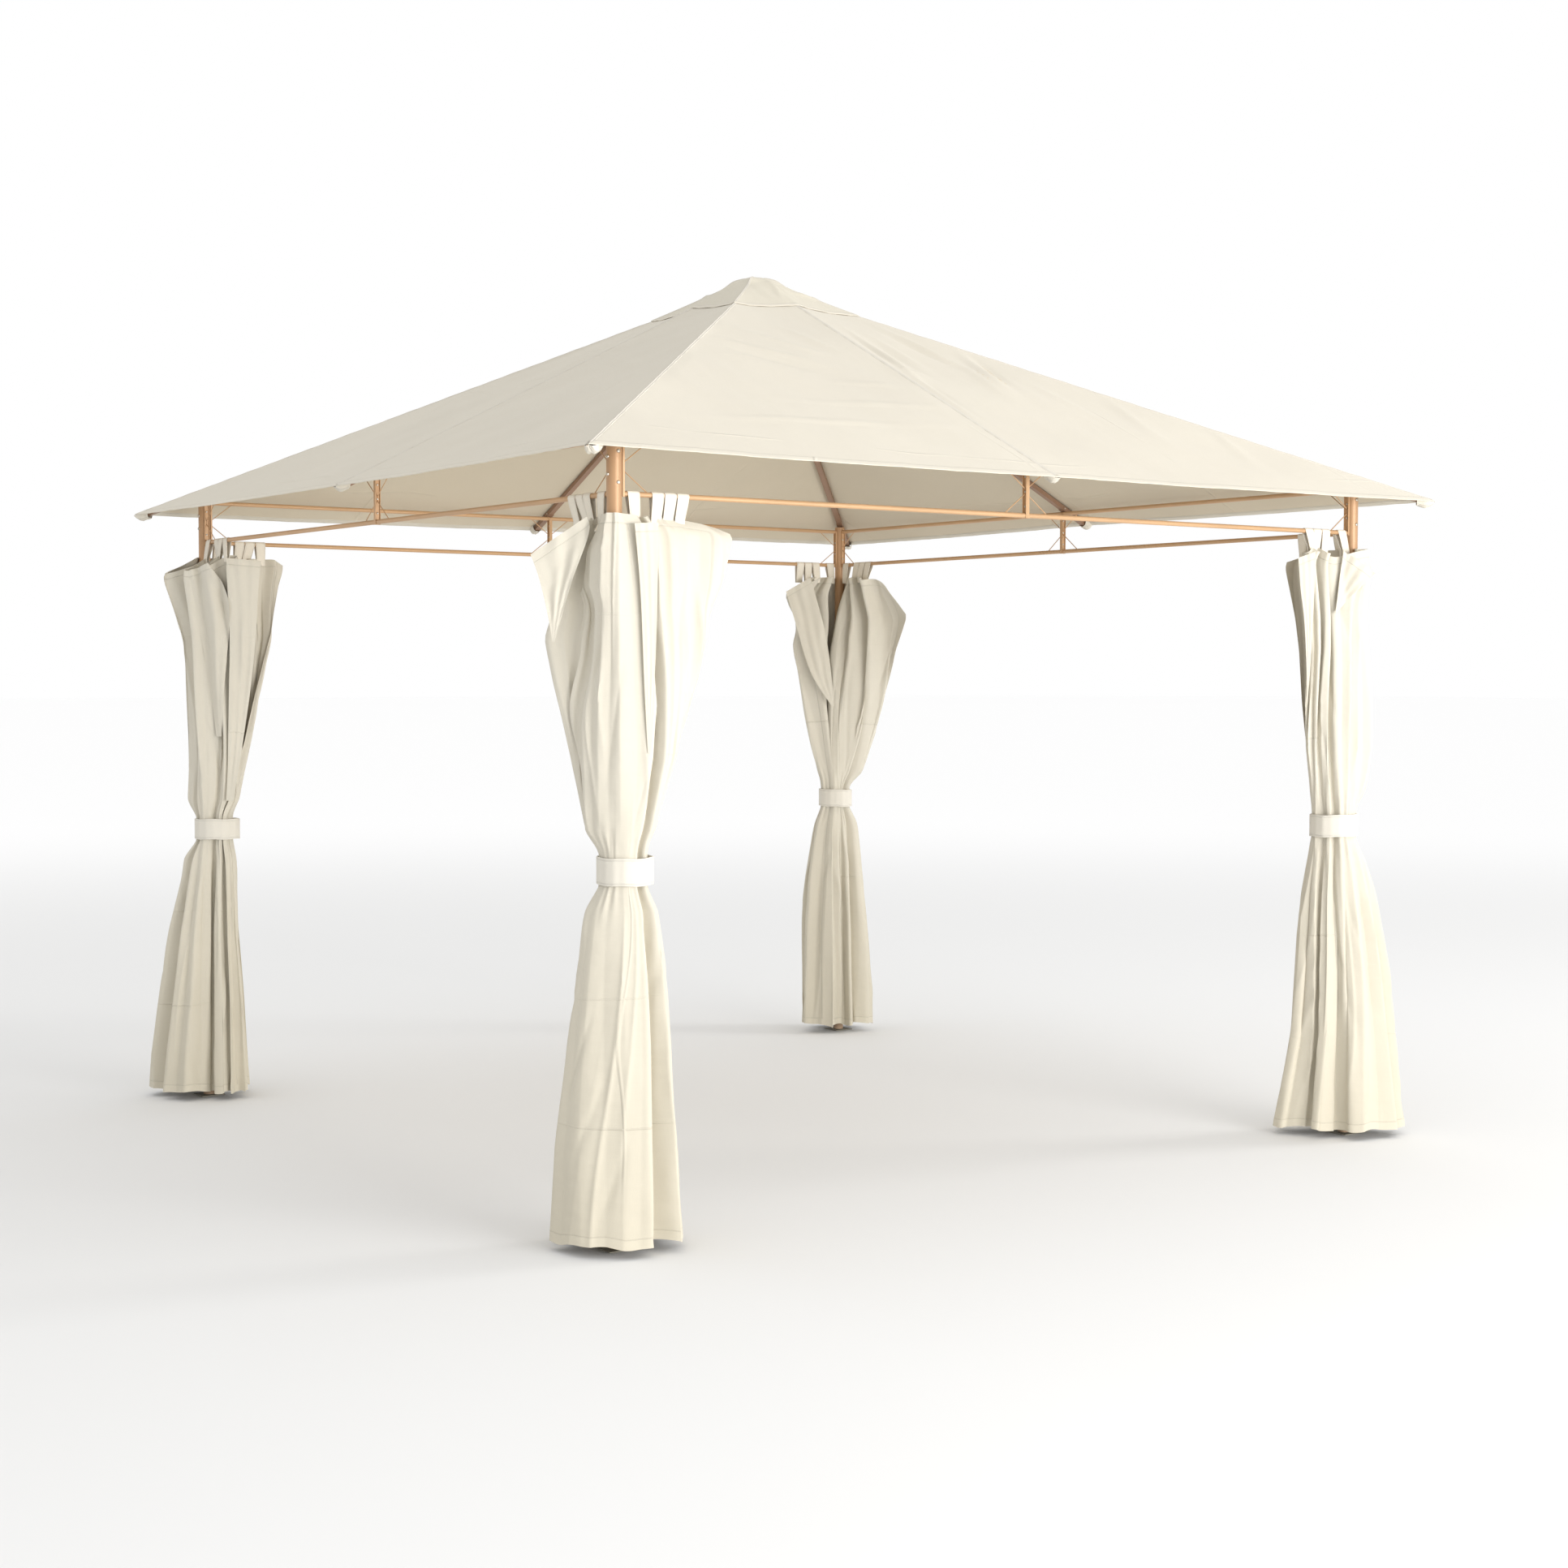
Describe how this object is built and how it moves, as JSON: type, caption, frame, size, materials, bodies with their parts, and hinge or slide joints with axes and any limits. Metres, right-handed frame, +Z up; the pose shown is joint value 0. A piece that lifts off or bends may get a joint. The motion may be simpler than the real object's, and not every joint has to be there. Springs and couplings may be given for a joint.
{
  "type": "garden gazebo",
  "caption": "Square steel-framed garden gazebo with a hipped cloth canopy, vent cap and a tied curtain at each corner post.",
  "frame": {"origin": "on the ground, under the middle of the canopy, halfway between the four posts", "axes": "+Z up; the front side faces -Y and the right side faces +X, so the front left post is at -X, -Y"},
  "size_m": [3, 3, 2.691],
  "materials": {
    "post_paint": "satin light-brown paint",
    "rail_paint": "satin light-brown paint",
    "rafter_paint": "satin brown paint",
    "foot_paint": "dull grey-green coating",
    "canopy_cloth": "plain-woven coated polyester, cream",
    "curtain_cloth": "plain-woven polyester, cream",
    "band_cloth": "double-layer plain-woven polyester band, cream"
  },
  "bodies": {
    "root": {"post_front_left": "post_paint", "foot_front_left": "foot_paint", "post_front_right": "post_paint", "foot_front_right": "foot_paint", "post_back_left": "post_paint", "foot_back_left": "foot_paint", "post_back_right": "post_paint", "foot_back_right": "foot_paint", "side_frame_front_a": "rail_paint", "side_frame_front_b": "rail_paint", "side_frame_right_a": "rail_paint", "side_frame_right_b": "rail_paint", "side_frame_back_a": "rail_paint", "side_frame_back_b": "rail_paint", "side_frame_left_a": "rail_paint", "side_frame_left_b": "rail_paint", "hip_rafter_front_left": "rafter_paint", "hip_saddle_front_left": "rafter_paint", "hip_rafter_front_right": "rafter_paint", "hip_saddle_front_right": "rafter_paint", "hip_rafter_back_left": "rafter_paint", "hip_saddle_back_left": "rafter_paint", "hip_rafter_back_right": "rafter_paint", "hip_saddle_back_right": "rafter_paint", "mid_rafter_front": "rafter_paint", "mid_saddle_front": "rafter_paint", "mid_rafter_right": "rafter_paint", "mid_saddle_right": "rafter_paint", "mid_rafter_back": "rafter_paint", "mid_saddle_back": "rafter_paint", "mid_rafter_left": "rafter_paint", "mid_saddle_left": "rafter_paint", "roof_hub": "rafter_paint", "canopy": "canopy_cloth", "vent_cap": "canopy_cloth", "curtain_front_left": "curtain_cloth", "curtain_tie_front_left": "band_cloth", "curtain_front_right": "curtain_cloth", "curtain_tie_front_right": "band_cloth", "curtain_back_left": "curtain_cloth", "curtain_tie_back_left": "band_cloth", "curtain_back_right": "curtain_cloth", "curtain_tie_back_right": "band_cloth"}
  },
  "joints": []
}
